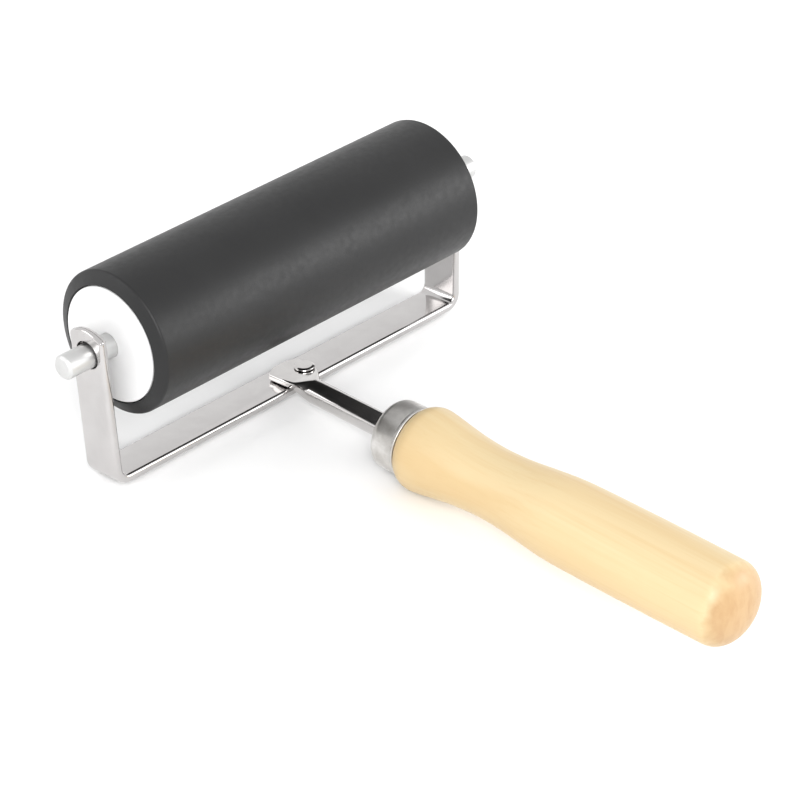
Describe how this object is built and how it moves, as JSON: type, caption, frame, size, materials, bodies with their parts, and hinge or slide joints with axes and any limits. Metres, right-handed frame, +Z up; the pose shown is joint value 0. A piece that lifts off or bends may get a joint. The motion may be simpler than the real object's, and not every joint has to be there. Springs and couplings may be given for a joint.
{
  "type": "rubber brayer",
  "caption": "Hand brayer for rolling ink or glue: a rubber roller turning between the arms of a bent steel yoke, with a turned wooden handle.",
  "frame": {"origin": "middle of the bounding box at the table, with the brayer laid down, roller up, leaning on the far lower edge of its bar and on the front bulge of the wood", "axes": "+X along the roller's axle; the handle points to -Y; +Z up, away from the table"},
  "size_m": [0.191, 0.2318, 0.0739],
  "materials": {
    "rubber": "matte moulded and ground rubber",
    "core_metal": "plain drawn tube",
    "white_plastic": "semi-gloss moulded",
    "axle_metal": "satin turned",
    "plated_strip": "polished and plated, faint smudges",
    "polished_rod": "polished",
    "ferrule_metal": "satin spun",
    "lacquered_wood": "pale close-grained wood under clear lacquer"
  },
  "bodies": {
    "frame": {"yoke": "plated_strip", "shank": "polished_rod", "rivet": "polished_rod", "ferrule": "ferrule_metal", "handle_grip": "lacquered_wood"},
    "roller": {"rubber_sleeve": "rubber", "core_tube": "core_metal", "end_cap_left": "white_plastic", "end_cap_right": "white_plastic", "axle": "axle_metal"}
  },
  "joints": [
    {"name": "roller_spin", "type": "hinge", "parent": "frame", "child": "roller", "pos_m": [0, 0.09094, 0.04894], "axis": [1, 0, 0], "continuous": true}
  ]
}
